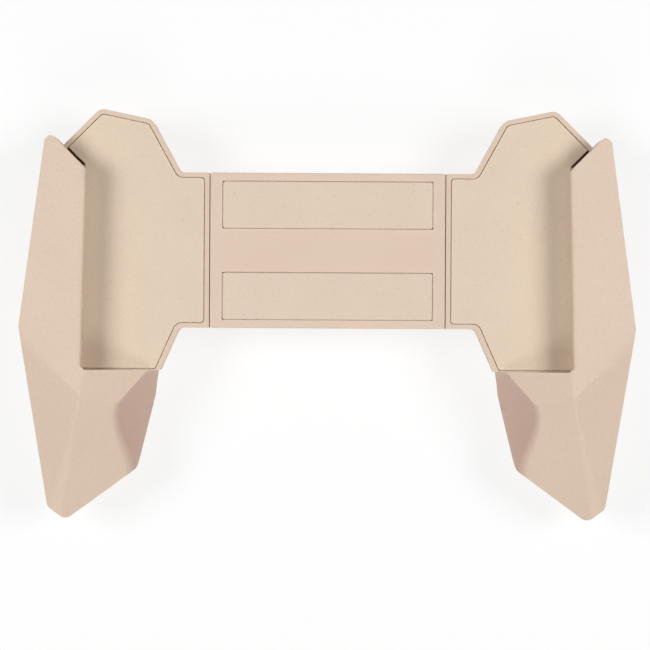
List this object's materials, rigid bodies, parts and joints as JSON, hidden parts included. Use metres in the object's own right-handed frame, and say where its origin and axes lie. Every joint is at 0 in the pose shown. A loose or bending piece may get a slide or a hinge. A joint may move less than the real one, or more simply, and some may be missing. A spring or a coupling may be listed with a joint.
{
  "type": "phone gaming grip",
  "caption": "Stretching hand grip for a phone in landscape: a flat centre housing with soft pads and two faceted handles with end walls that slide out against springs.",
  "frame": {"origin": "middle of the part in X and Y, on the table that it lies on", "axes": "+X along the phone to the right, +Y up the front face, +Z from the table to the front"},
  "size_m": [0.1694, 0.1131, 0.032],
  "materials": {
    "grip_moulding": "fine matte",
    "centre_moulding": "fine matte",
    "tray_inlay": "grained matte",
    "pad_rubber": "grained matte",
    "slide_plastic": "smooth",
    "screw_steel": "zinc plated",
    "spring_steel": "drawn wire"
  },
  "bodies": {
    "centre": {"centre_back_cover": "grip_moulding", "centre_front_plate": "centre_moulding", "upper_grip_pad": "pad_rubber", "lower_grip_pad": "pad_rubber", "centre_screws": "screw_steel", "right_upper_spring": "spring_steel", "right_lower_spring": "spring_steel", "left_upper_spring": "spring_steel", "left_lower_spring": "spring_steel"},
    "right_grip": {"right_front_shell": "grip_moulding", "right_back_shell": "grip_moulding", "right_tray_panel": "tray_inlay", "right_slide_plate": "slide_plastic", "right_slide_screws": "screw_steel", "right_handle_screws": "screw_steel", "right_tray_screws": "screw_steel"},
    "left_grip": {"left_front_shell": "grip_moulding", "left_back_shell": "grip_moulding", "left_tray_panel": "tray_inlay", "left_slide_plate": "slide_plastic", "left_slide_screws": "screw_steel", "left_handle_screws": "screw_steel", "left_tray_screws": "screw_steel"}
  },
  "joints": [
    {"name": "right_slide", "type": "slide", "parent": "centre", "child": "right_grip", "axis": [1, 0, 0], "range_m": [0, 0.013], "stiffness_N_per_m": 300, "springref_m": -0.01, "deforming": ["right_upper_spring", "right_lower_spring"]},
    {"name": "left_slide", "type": "slide", "parent": "centre", "child": "left_grip", "axis": [-1, 0, 0], "range_m": [0, 0.013], "stiffness_N_per_m": 300, "springref_m": -0.01, "deforming": ["left_upper_spring", "left_lower_spring"]}
  ]
}
